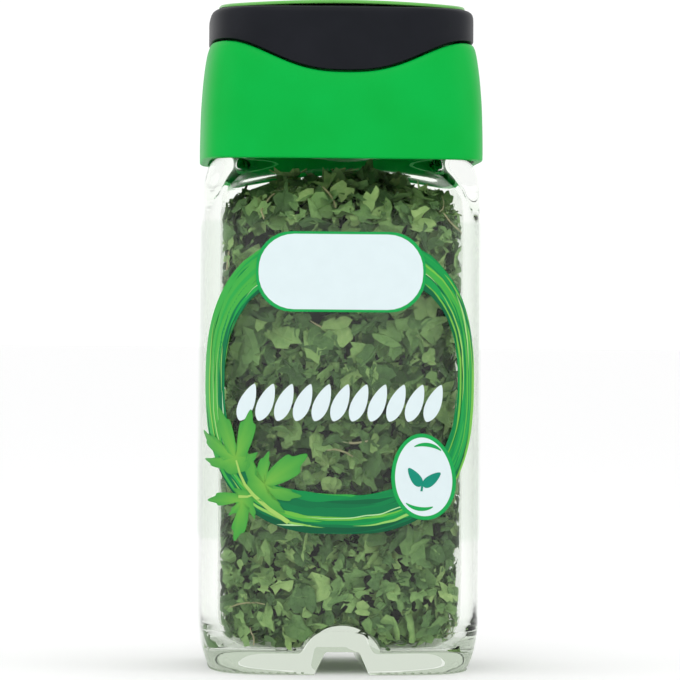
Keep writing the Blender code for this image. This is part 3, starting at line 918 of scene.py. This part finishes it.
def ringTree(values):
    tree, given = startTree("brushedRing", values)
    seed = given["Seed"]
    line = treeNode(tree, "GeometryNodeMeshLine", {"Count": given["Strokes"]})
    points = line.outputs[0]
    index = treeNode(tree, "GeometryNodeInputIndex").outputs[0]
    points = storeFloat(tree, points, "order", index)
    draws = (("start", 0.0, 6.2832), ("arc", given["Short"], given["Long"]),
             ("width", given["Thin"], given["Thick"]), ("band", given["Low Band"], given["High Band"]),
             ("tone", given["Low Tone"], given["High Tone"]), ("drift", -0.22, 0.22))
    for offset, (label, low, high) in enumerate(draws, 1):
        points = storeFloat(tree, points, label, randomFloat(tree, low, high, seed, offset))
    stroke = treeNode(tree, "GeometryNodeMeshGrid",
                      {"Size X": 1.0, "Size Y": 1.0, "Vertices X": 72, "Vertices Y": 3}).outputs[0]
    u, v, _ = parts(tree, treeNode(tree, "GeometryNodeInputPosition").outputs[0])
    stroke = storeFloat(tree, stroke, "along", calc(tree, "ADD", u, 0.5))
    stroke = storeFloat(tree, stroke, "across", v)
    laid = treeNode(tree, "GeometryNodeInstanceOnPoints", {"Points": points, "Instance": stroke})
    real = treeNode(tree, "GeometryNodeRealizeInstances", {"Geometry": laid.outputs[0]}).outputs[0]
    along, across = readFloat(tree, "along"), readFloat(tree, "across")
    turn = calc(tree, "ADD", readFloat(tree, "start"), calc(tree, "MULTIPLY", along, readFloat(tree, "arc")))
    swell = calc(tree, "POWER", calc(tree, "ABSOLUTE", calc(
        tree, "SINE", calc(tree, "MULTIPLY", along, 3.14159))), given["Taper"])
    side = calc(tree, "MULTIPLY", calc(tree, "MULTIPLY", across, readFloat(tree, "width")), swell)
    slide = calc(tree, "MULTIPLY", calc(tree, "SUBTRACT", along, 0.5), readFloat(tree, "drift"))
    band = calc(tree, "ADD", calc(tree, "ADD", readFloat(tree, "band"), side), slide)
    wobble = treeNode(tree, "ShaderNodeTexNoise", {"Scale": 3.0, "Detail": 1.0})
    place = combine(tree, calc(tree, "MULTIPLY", turn, 1.6), readFloat(tree, "order"), 0.0)
    feed(tree, wobble.inputs["Vector"], place)
    shift = calc(tree, "MULTIPLY", calc(tree, "SUBTRACT", wobble.outputs[0], 0.5), 0.12)
    band = calc(tree, "ADD", band, shift)
    band = calc(tree, "MINIMUM", calc(tree, "MAXIMUM", band, -0.06), 1.03)
    across = []
    for axis, trig in (("X", "COSINE"), ("Z", "SINE")):
        round_ = calc(tree, trig, turn)
        squarer = calc(tree, "MULTIPLY", calc(tree, "SIGN", round_),
                       calc(tree, "POWER", calc(tree, "ABSOLUTE", round_), ring["square"]))
        inner, outer = given["Inner " + axis], given["Outer " + axis]
        reach = calc(tree, "ADD", inner, calc(tree, "MULTIPLY", calc(tree, "SUBTRACT", outer, inner), band))
        across.append(calc(tree, "ADD", given["Centre " + axis],
                           calc(tree, "MULTIPLY", reach, squarer)))
    x, z = across
    lift = calc(tree, "ADD", given["Lift"], calc(tree, "MULTIPLY", readFloat(tree, "order"), given["Step"]))
    half = calc(tree, "ADD", taperedHalf(tree, given, z), lift)
    out = calc(tree, "MINIMUM", calc(tree, "DIVIDE", calc(tree, "ABSOLUTE", x), half), 0.995)
    depth = calc(tree, "SUBTRACT", 1.0, calc(tree, "POWER", out, given["Power"]))
    depth = calc(tree, "POWER", depth, calc(tree, "DIVIDE", 1.0, given["Power"]))
    depth = calc(tree, "MULTIPLY", half, depth)
    place = combine(tree, x, calc(tree, "MULTIPLY", depth, -1.0), z)
    moved = treeNode(tree, "GeometryNodeSetPosition", {"Geometry": real, "Position": place})
    endTree(tree, moved.outputs[0], given["Material"])
    return tree


def facePrint(piece):
    # print faces all look out from the label's front
    mesh = bmesh.new()
    mesh.from_mesh(piece.data)
    flip = [face for face in mesh.faces if face.normal.y > 0]
    bmesh.ops.reverse_faces(mesh, faces=flip)
    mesh.to_mesh(piece.data)
    mesh.free()
    piece.data.shade_smooth()


def makeRing():
    common = {
        "Centre X": ring["centreX"] * mm, "Centre Z": ring["centreZ"] * mm, "Inner X": ring["innerX"] * mm,
        "Outer X": ring["outerX"] * mm, "Inner Z": ring["innerZ"] * mm, "Outer Z": ring["outerZ"] * mm,
        "Half Low": film["halfLow"] * mm, "Half High": film["halfHigh"] * mm, "Low": film["lowZ"] * mm,
        "High": film["highZ"] * mm, "Power": film["power"], "Material": ringInk}
    ground = dict(common, Strokes=1, Seed=2, Short=6.2832, Long=6.2832, Thin=0.94, Thick=0.94, Taper=0.0,
                  Lift=0.02 * mm, Step=0.0)
    ground.update({"Low Band": 0.5, "High Band": 0.5, "Low Tone": 0.36, "High Tone": 0.36})
    strokes = dict(common, Strokes=ring["strokes"], Seed=ring["seed"], Short=0.5, Long=2.6, Thin=0.05,
                   Thick=0.30, Taper=0.7, Lift=ring["lift"] * mm, Step=ring["step"] * mm)
    strokes.update({"Low Band": 0.04, "High Band": 0.96, "Low Tone": 0.0, "High Tone": 0.86})
    shines = dict(common, Strokes=16, Seed=ring["seed"] + 20, Short=0.25, Long=1.0, Thin=0.03,
                  Thick=0.09, Taper=0.8, Lift=(ring["lift"] + 0.06) * mm, Step=ring["step"] * mm)
    shines.update({"Low Band": 0.1, "High Band": 0.9, "Low Tone": 0.88, "High Tone": 1.0})
    tree = ringTree(ground)
    for name, values in (("ringGround", ground), ("ringStrokes", strokes), ("ringShines", shines)):
        piece = runTree(name, tree, values)
        facePrint(piece)
        finishPiece(piece, "jar", "film")


printFill = {"rings": 8, "edge": 0.9}


def evenRim(rim, step):
    # the same outline with its long edges split
    points = []
    for (x, z), (nextX, nextZ) in zip(rim, rim[1:] + rim[:1]):
        pieces = max(1, math.ceil(math.hypot(nextX - x, nextZ - z) / step))
        points += [(x + (nextX - x) * k / pieces, z + (nextZ - z) * k / pieces)
                   for k in range(pieces)]
    return points


def facesOnLabel(name, outlines, lift, material, tones=None):
    # each outline is a centre and a rim of x, z points, filled as a fan of inner rings
    mesh = bmesh.new()
    values = []
    shares = [(i + 1) / printFill["rings"] for i in range(printFill["rings"])]
    for k, (centre, rim) in enumerate(outlines):
        tone = tones[k] if tones else (0.5, 0.5)
        middle = mesh.verts.new(onLabel(*centre, lift))
        values.append(tone[0])
        rows = []
        rim = evenRim(rim, printFill["edge"])
        for share in shares:
            row = []
            for x, z in rim:
                row.append(mesh.verts.new(onLabel(centre[0] + (x - centre[0]) * share,
                                                  centre[1] + (z - centre[1]) * share, lift)))
                values.append(tone[0] + (tone[1] - tone[0]) * share)
            rows.append(row)
        count = len(rim)
        for i in range(count):
            j = (i + 1) % count
            mesh.faces.new((middle, rows[0][i], rows[0][j]))
            for a, b in zip(rows, rows[1:]):
                mesh.faces.new((a[i], b[i], b[j], a[j]))
    piece = newPiece(name, mesh, material)
    facePrint(piece)
    if tones:
        layer = piece.data.attributes.new("tone", "FLOAT", "POINT")
        for item, value in zip(layer.data, values):
            item.value = value
    finishPiece(piece, "jar", "film")


def stripOnLabel(name, points, widths, lift, material):
    # a line of ink through x, z points
    mesh = bmesh.new()
    rows = []
    for i, (x, z) in enumerate(points):
        ahead, behind = points[min(i + 1, len(points) - 1)], points[max(i - 1, 0)]
        dx, dz = ahead[0] - behind[0], ahead[1] - behind[1]
        length = math.hypot(dx, dz) or 1
        half = widths[i] / 2
        sideX, sideZ = -half * dz / length, half * dx / length
        rows.append([mesh.verts.new(onLabel(x + s * sideX, z + s * sideZ, lift)) for s in (-1, 0, 1)])
    for a, b in zip(rows, rows[1:]):
        for k in (0, 1):
            mesh.faces.new((a[k], a[k + 1], b[k + 1], b[k]))
    piece = newPiece(name, mesh, material)
    facePrint(piece)
    finishPiece(piece, "jar", "film")


badge = {"x": 12.6, "z": 31.6, "halfWide": 5.15, "halfTall": 6.85, "edge": 0.62, "lean": 6.0,
         "tilt": -8.0, "leafHalf": 1.75, "leafWide": 0.78, "leafSpread": 44}


def eggRim(grow, steps=64):
    points = []
    for i in range(steps):
        a = 2 * math.pi * i / steps
        wide = (badge["halfWide"] + grow) * (1 - 0.07 * math.sin(a))
        points.append(badgePoint(wide * math.cos(a), (badge["halfTall"] + grow) * math.sin(a), "lean"))
    return points


def badgePoint(across, up, slant="tilt"):
    # a point of the badge, whose rim leans one way and whose marks tilt the other
    lean = math.radians(badge[slant])
    return (badge["x"] + across * math.cos(lean) - up * math.sin(lean),
            badge["z"] + across * math.sin(lean) + up * math.cos(lean))


def makeBadge():
    centre = (badge["x"], badge["z"])
    facesOnLabel("badgeEdge", [(centre, eggRim(0))], 0.13, badgeGreen)
    facesOnLabel("badgeFace", [(centre, eggRim(-badge["edge"]))], 0.15, whiteInk)
    for name, side in (("badgeArcTop", 1), ("badgeArcFoot", -1)):
        arc = []
        for i in range(25):
            a = math.radians(-38 + 76 * i / 24)
            arc.append(badgePoint(3.5 * math.sin(a), side * (2.2 + 2.9 * math.cos(a))))
        widths = [0.62 * math.sin(math.pi * (0.04 + 0.9 * i / 24)) ** 0.8 for i in range(25)]
        stripOnLabel(name, arc, widths, 0.17, badgeGreen)
    # a plain pair of leaves in the badge's middle
    pair = []
    for side in (-1, 1):
        root = badgePoint(side * 0.15, -1.5)
        heading = math.radians(90 - side * badge["leafSpread"] + badge["tilt"])
        half, rim = badge["leafHalf"], []
        for i in range(28):
            a = 2 * math.pi * i / 28
            x = half + half * math.cos(a)
            z = badge["leafWide"] * math.sin(a) * (1 - 0.35 * math.cos(a))
            rim.append((root[0] + x * math.cos(heading) - z * math.sin(heading),
                        root[1] + x * math.sin(heading) + z * math.cos(heading)))
        middle = (root[0] + half * math.cos(heading), root[1] + half * math.sin(heading))
        pair.append((middle, rim))
    facesOnLabel("badgeLeaves", pair, 0.17, tealInk)
    stem = [badgePoint(0, -2.3), badgePoint(0, -1.9), badgePoint(0, -1.4), badgePoint(0, -0.8)]
    stripOnLabel("badgeStem", stem, [0.34] * 4, 0.18, tealInk)


shield = {"low": 57.5, "high": 70.2, "halfWide": 13.4, "x": -0.7, "corner": 5.6}
leafRow = {"x": -0.6, "z": 43.2, "count": 11, "pitch": 2.95, "long": 6.3, "wide": 1.2, "tilt": -22}


def panelRim(shape, shrink=0.0):
    corner = shape["corner"]
    points = []
    wide, low, high = shape["halfWide"] - shrink, shape["low"] + shrink, shape["high"] - shrink
    for cx, cz, first in ((wide - corner, high - corner, 0), (corner - wide, high - corner, 90),
                          (corner - wide, low + corner, 180), (wide - corner, low + corner, 270)):
        for k in range(9):
            a = math.radians(first + 90 * k / 8)
            points.append((shape["x"] + cx + corner * math.cos(a), cz + corner * math.sin(a)))
    return points


def makePanels():
    centre = (shield["x"], (shield["low"] + shield["high"]) / 2)
    facesOnLabel("titlePanelEdge", [(centre, panelRim(shield))], 0.13, badgeGreen)
    facesOnLabel("titlePanel", [(centre, panelRim(shield, 0.4))], 0.15, whiteInk)
    # a row of plain white leaves across the label's middle
    row = []
    for number in range(leafRow["count"]):
        x = leafRow["x"] + leafRow["pitch"] * (number - (leafRow["count"] - 1) / 2)
        turn = math.radians(90 + leafRow["tilt"])
        rim = []
        for i in range(36):
            a = 2 * math.pi * i / 36
            u = leafRow["long"] / 2 * math.cos(a)
            v = leafRow["wide"] * math.sin(a) * abs(math.sin(a)) ** 0.35 * (1 - 0.25 * math.cos(a))
            rim.append((x + u * math.cos(turn) - v * math.sin(turn),
                        leafRow["z"] + u * math.sin(turn) + v * math.cos(turn)))
        row.append(((x, leafRow["z"]), rim))
    facesOnLabel("leafRow", row, 0.15, whiteInk)


sprig = {
    "leaves": [  # stem end, direction in degrees, length, lobes
        ((-16.6, 32.4), 106, 9.8,
         [(-62, 0.40, 15), (-27, 0.94, 16), (2, 1.0, 13), (27, 0.82, 13), (56, 0.54, 15)]),
        ((-14.3, 29.1), 33, 9.7,
         [(-66, 0.58, 16), (-38, 0.74, 15), (2, 1.0, 21), (36, 0.66, 15), (66, 0.60, 16)]),
        ((-14.9, 28.4), 214, 7.0,
         [(-60, 0.38, 14), (-27, 0.88, 19), (10, 0.60, 14), (38, 1.0, 18), (70, 0.50, 13)]),
    ],
}


def makeSprig():
    outlines, tones = [], []
    for (rootX, rootZ), heading, length, lobes in sprig["leaves"]:
        turn = math.radians(heading)
        rim = []
        for x, z in leafOutline(length, lobes, 190):
            rim.append((rootX + x * math.cos(turn) - z * math.sin(turn),
                        rootZ + x * math.sin(turn) + z * math.cos(turn)))
        centre = (rootX + 0.22 * length * math.cos(turn), rootZ + 0.22 * length * math.sin(turn))
        outlines.append((centre, rim))
        tones.append((0.95, 0.42))
    facesOnLabel("sprigLeaves", outlines, 0.16, sprigInk, tones)
    stems = (((-17.0, 34.0), (-16.4, 31.9), (-15.6, 30.2), (-14.3, 28.6), (-11.8, 26.4), (-8.7, 24.3)),
             ((-14.3, 28.6), (-15.2, 28.3), (-16.6, 28.3)))
    for number, stem in enumerate(stems):
        widths = [0.26 + 0.09 * i for i in range(len(stem))]
        stripOnLabel(f"sprigStem{number + 1}", stem, widths, 0.18, stemInk)


makeRing()
makeBadge()
makePanels()
makeSprig()
print("label print made")


# cap: green collar with a dipped front edge

cap = {
    "points": 208, "top": 100.6, "root": 90.0, "bore": 18.9, "deck": 1.2,
    "waveDepth": 5.1, "waveHalf": 19.8, "waveSharp": 1.3,
    "profile": [
        (22.2, 5.9, 81.8), (22.42, 6.0, 81.95), (22.5, 6.0, 82.4), (22.5, 5.95, 85.0),
        (22.45, 5.8, 88.0), (22.38, 5.6, 90.5), (22.25, 5.4, 92.8), (22.05, 5.15, 95.4),
        (21.8, 4.9, 97.6), (21.55, 4.7, 99.2), (21.35, 4.55, 100.0), (21.1, 4.45, 100.45),
        (20.75, 4.4, 100.6)],
}
hinge = {"y": 20.6, "z": 101.6, "barrel": 1.2, "barrelHalf": 5.8, "pin": 0.6, "pinHalf": 7.8,
         "earNear": 6.15, "earFar": 8.15, "slack": 0.08}


def waveDip(x, y):
    if y > 0 or abs(x) >= cap["waveHalf"]:
        return 0.0
    return cap["waveDepth"] * math.cos(math.pi / 2 * (abs(x) / cap["waveHalf"]) ** cap["waveSharp"]) ** 2


def makeCollar():
    count = cap["points"]

    def lowered(z):
        share = min(1.0, max(0.0, (z - cap["root"]) / (cap["top"] - cap["root"])))
        return lambda x, y: z - waveDip(x, y) * share

    rings = [squareRing(half, power, lowered(z), count) for half, power, z in refine(cap["profile"], 3)]
    for half, power in ((20.2, 4.0), (19.2, 2.3)):
        rings.append(squareRing(half, power, lowered(cap["top"]), count))
    under = cap["top"] - cap["deck"]
    rings.append(squareRing(cap["bore"], 2, lowered(cap["top"]), count))
    rings.append(squareRing(cap["bore"], 2, lambda x, y: under - waveDip(x, y), count))
    rings.append(squareRing(20.2, 4.4, lambda x, y: under - waveDip(x, y), count))
    inner = [(21.0 - 0.25, 4.9, 96.5), (21.1, 5.4, 92.4), (21.25, 5.8, 88.0), (21.2, 6.0, 81.8)]
    rings += [squareRing(half, power, lowered(z), count) for half, power, z in inner]
    collar = loft("capCollar", rings, greenPlastic, looped=True, sharp=50)
    pocketHalf = hinge["earNear"] - 0.05
    steps = [("DIFFERENCE", blockOf("pocket", (-pocketHalf, 17.5, 100.05), (pocketHalf, 24, 105)))]
    for side in (-1, 1):
        low, high = sorted((side * hinge["earNear"], side * hinge["earFar"]))
        y, z, r = hinge["y"], hinge["z"], hinge["barrel"]
        steps.append(("UNION", blockOf(f"stem{side}", (low, y - r * 0.97, 99.8), (high, y + r * 0.8, z))))
        steps.append(("UNION", rodAlongX(f"ear{side}", r, low, high, y, z)))
    bore = hinge["pin"] + hinge["slack"]
    steps.append(("DIFFERENCE", rodAlongX("pinBore", bore, -12, 12, hinge["y"], hinge["z"])))
    cutWith(collar, *steps)
    finishPiece(collar, "jar", "green_plastic", "cap_collar")


# black lid and its green disc

lid = {
    "half": 21.2, "power": 4.2, "wall": 1.3, "gap": 0.35, "dome": 107.1, "fall": 0.0026, "points": 208,
    "disc": 19.9, "discThick": 0.6, "brim": 104.4,
}


def lidFoot(x, y):
    lift = 0.4 * min(1.0, max(0.0, (y - 16.0) / 3.0))
    return cap["top"] + lid["gap"] + lift - waveDip(x, y)


def domeHeight(x, y, extra=0.0):
    return lid["dome"] + extra - lid["fall"] * (x * x + y * y)


def turnedRing(name, outer, inner, low, high, count=96):
    rings = [squareRing(outer, 2, high, count), squareRing(outer, 2, low + 0.15, count),
             squareRing(outer - 0.15, 2, low, count), squareRing(inner + 0.15, 2, low, count),
             squareRing(inner, 2, low + 0.15, count), squareRing(inner, 2, high, count)]
    return loft(name, rings, None, looped=True)


def makeLid():
    count = lid["points"]
    above = lambda extra: (lambda x, y: lidFoot(x, y) + extra)
    half, power, wall = lid["half"], lid["power"], lid["wall"]
    outside = [squareRing(r, p, lambda x, y: domeHeight(x, y), count)
               for r, p in ((5, 2.2), (10, 3.0), (15, 3.8), (19.4, power))]
    brim = lid["brim"]
    for r, z in ((20.2, 105.98), (20.6, 105.88), (20.9, 105.66), (21.08, 105.35), (21.17, 104.95),
                 (half, brim)):
        outside.append(squareRing(r, power, z, count))
    for share in (0.25, 0.5, 0.75):
        height = lambda x, y, s=share: brim + s * (lidFoot(x, y) + 0.25 - brim)
        outside.append(squareRing(half, power, height, count))
    for r, extra in ((half, 0.25), (half - 0.08, 0.08), (half - 0.25, 0.0), (half - wall, 0.0)):
        outside.append(squareRing(r, power, above(extra), count))
    inside = [squareRing(half - wall, power, 103.7, count),
              squareRing(half - wall - 0.5, power, 104.3, count)]
    inside += [squareRing(r, p, lambda x, y: domeHeight(x, y, -1.5), count)
               for r, p in ((half - wall - 1.6, power), (10, 3.0), (5, 2.2))]
    body = loft("flipLid", outside + inside, blackPlastic, start=(0, 0, domeHeight(0, 0)),
                end=(0, 0, domeHeight(0, 0, -1.5)))
    steps = [("UNION", turnedRing("seal", 17.3, 16.3, 101.0, 105.3))]
    for side in (-1, 1):
        low, high = sorted((side * hinge["barrelHalf"], side * (hinge["earFar"] + 0.3)))
        notch = blockOf(f"notch{side}", (low, 18.7, 99), (high, 24, hinge["z"] + 1.75))
        steps.append(("DIFFERENCE", notch))
    for name in ("barrel", "pin"):
        reach = hinge[name + "Half"]
        steps.append(("UNION", rodAlongX(name, hinge[name], -reach, reach, hinge["y"], hinge["z"])))
    cutWith(body, *steps)
    finishPiece(body, "lid", "black_plastic", "flip_lid")

    reach, thick = lid["disc"], lid["discThick"]
    under = lambda extra: (lambda x, y: domeHeight(x, y, 0.3 + extra))
    rings = [squareRing(r, p, under(e), count) for r, p, e in (
        (8, 2.6, 0), (reach - 0.3, power, 0), (reach - 0.1, power, 0.15), (reach - 0.12, power, thick - 0.2),
        (reach - 0.3, power, thick - 0.04), (reach - 0.6, power, thick), (12, 3.2, thick), (6, 2.4, thick))]
    disc = loft("lidDisc", rings, discPlastic, start=(0, 0, domeHeight(0, 0, 0.3)),
                end=(0, 0, domeHeight(0, 0, 0.3 + thick)))
    finishPiece(disc, "lid", "green_disc", "lid_disc")


makeCollar()
makeLid()
print("collar and lid made")


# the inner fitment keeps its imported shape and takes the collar's green plastic
fitment = frame["nodes"]["sifter_fitment"]
for place in fitment.material_slots:
    place.material = greenPlastic


# floor, light and camera

stand = {
    "floor": (0.93, 0.93, 0.93), "floorHalf": 30000, "sky": 1.06,
    "distance": 0.700, "yaw": 3.0, "height": 53.1, "lens": 227.4, "roll": -0.45, "aside": 0.4,
    "lamps": [  # name, place, size, power
        ("leftSoftbox", (-0.55, -0.2, 0.28), 0.35, 0.35),
        ("rightSoftbox", (0.55, -0.2, 0.28), 0.35, 0.35),
        ("frontSoftbox", (-0.1, -0.5, 0.75), 0.3, 0.9)],
}


def makeStage():
    mesh = bmesh.new()
    bmesh.ops.create_grid(mesh, x_segments=1, y_segments=1, size=stand["floorHalf"])
    floor = newPiece("floor", mesh, newMaterial("paleFloor", stand["floor"], 0.8, 0.1))
    world = bpy.data.worlds.new("paleRoom")
    bpy.context.scene.world = world
    world.use_nodes = True
    sky = world.node_tree.nodes["Background"].inputs
    sky["Color"].default_value = (1, 1, 1, 1)
    sky["Strength"].default_value = stand["sky"]
    for name, place, size, power in stand["lamps"]:
        lamp = bpy.data.lights.new(name, "AREA")
        lamp.size = size
        lamp.energy = power
        holder = bpy.data.objects.new(name, lamp)
        bpy.context.scene.collection.objects.link(holder)
        holder.location = place
        aim = Vector((0, 0, 0.05)) - Vector(place)
        holder.rotation_euler = aim.to_track_quat("-Z", "Y").to_euler()


def makeCamera():
    lens = bpy.data.cameras.new("viewCamera")
    lens.lens = stand["lens"]
    lens.sensor_width = 36
    lens.clip_start = 0.01
    camera = bpy.data.objects.new("viewCamera", lens)
    bpy.context.scene.collection.objects.link(camera)
    yaw = math.radians(stand["yaw"])
    back, aside = stand["distance"], stand["aside"] * mm
    camera.location = (-back * math.sin(yaw) + aside * math.cos(yaw),
                       -back * math.cos(yaw) - aside * math.sin(yaw), stand["height"] * mm)
    camera.rotation_euler = (math.radians(90), math.radians(stand["roll"]), -yaw)
    bpy.context.scene.camera = camera


makeStage()
makeCamera()
bpy.context.scene.view_settings.view_transform = "Standard"
print("scene ready")
